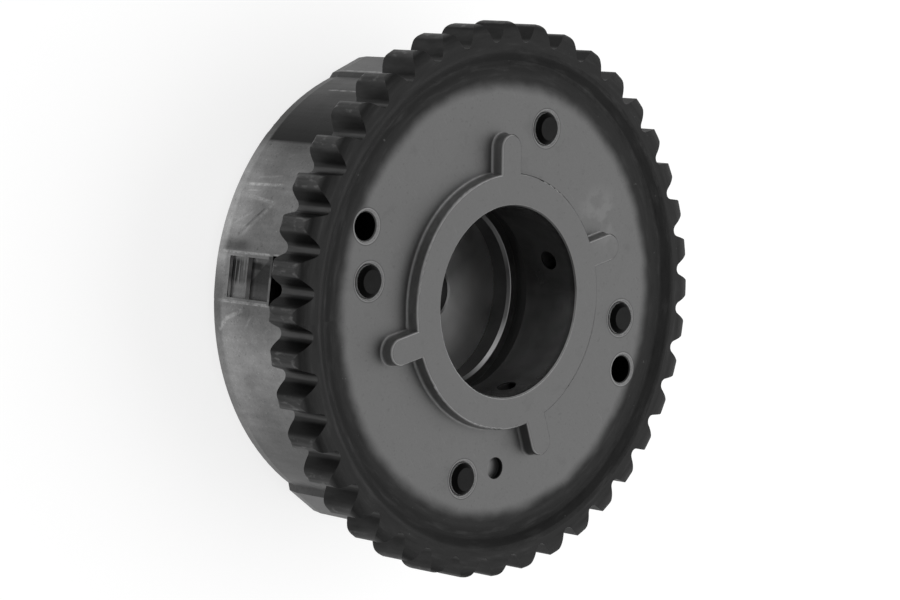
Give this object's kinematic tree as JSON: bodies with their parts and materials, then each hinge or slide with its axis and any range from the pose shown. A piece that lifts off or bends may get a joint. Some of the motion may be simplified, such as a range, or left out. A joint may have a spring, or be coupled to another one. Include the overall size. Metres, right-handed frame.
{
  "type": "cam phaser",
  "caption": "Chain driven cam phaser: toothed sprocket plate bolted to a round vane housing, with a rotor inside that turns to shift a camshaft's timing.",
  "frame": {"origin": "on the axis, in the plane of the bolt heads that the part rests on", "axes": "+Z along the axis towards the sprocket face; +Y points to the ear beside a bolt that is at the top of the picture"},
  "size_m": [0.1046, 0.1046, 0.0378],
  "materials": {
    "sprocket_steel": "ground, dark hardened rim",
    "housing_metal": "fine turned",
    "cover_metal": "ground",
    "rotor_metal": "sintered, turned faces",
    "pin_steel": "ground",
    "spring_steel": "drawn",
    "bolt_steel": "phosphated",
    "seal_plastic": "moulded"
  },
  "bodies": {
    "housing": {"sprocket_plate": "sprocket_steel", "stator_housing": "housing_metal", "cover_plate": "cover_metal", "bolts": "bolt_steel", "dowel_pins": "pin_steel", "lock_pin_seat": "pin_steel", "lobe_seal_1": "seal_plastic", "lobe_seal_2": "seal_plastic", "lobe_seal_3": "seal_plastic", "lobe_seal_4": "seal_plastic", "lobe_seal_spring_1": "spring_steel", "lobe_seal_spring_2": "spring_steel", "lobe_seal_spring_3": "spring_steel", "lobe_seal_spring_4": "spring_steel"},
    "rotor": {"rotor": "rotor_metal", "lock_pin_sleeve": "pin_steel", "lock_pin_cap": "pin_steel", "lock_pin_spring": "spring_steel", "vane_seal_1": "seal_plastic", "vane_seal_2": "seal_plastic", "vane_seal_3": "seal_plastic", "vane_seal_4": "seal_plastic", "vane_seal_spring_1": "spring_steel", "vane_seal_spring_2": "spring_steel", "vane_seal_spring_3": "spring_steel", "vane_seal_spring_4": "spring_steel"},
    "lock_pin": {"lock_pin": "pin_steel"}
  },
  "joints": [
    {"name": "rotor_turn", "type": "hinge", "parent": "housing", "child": "rotor", "pos_m": [0, 0, 0.0156], "axis": [0, 0, 1], "range_deg": [0, 22.5]},
    {"name": "lock_pin_slide", "type": "slide", "parent": "rotor", "child": "lock_pin", "axis": [0, 0, 1], "range_m": [-0.003, 0], "stiffness_N_per_m": 500, "springref_m": 0.004, "deforming": ["lock_pin_spring"]}
  ]
}
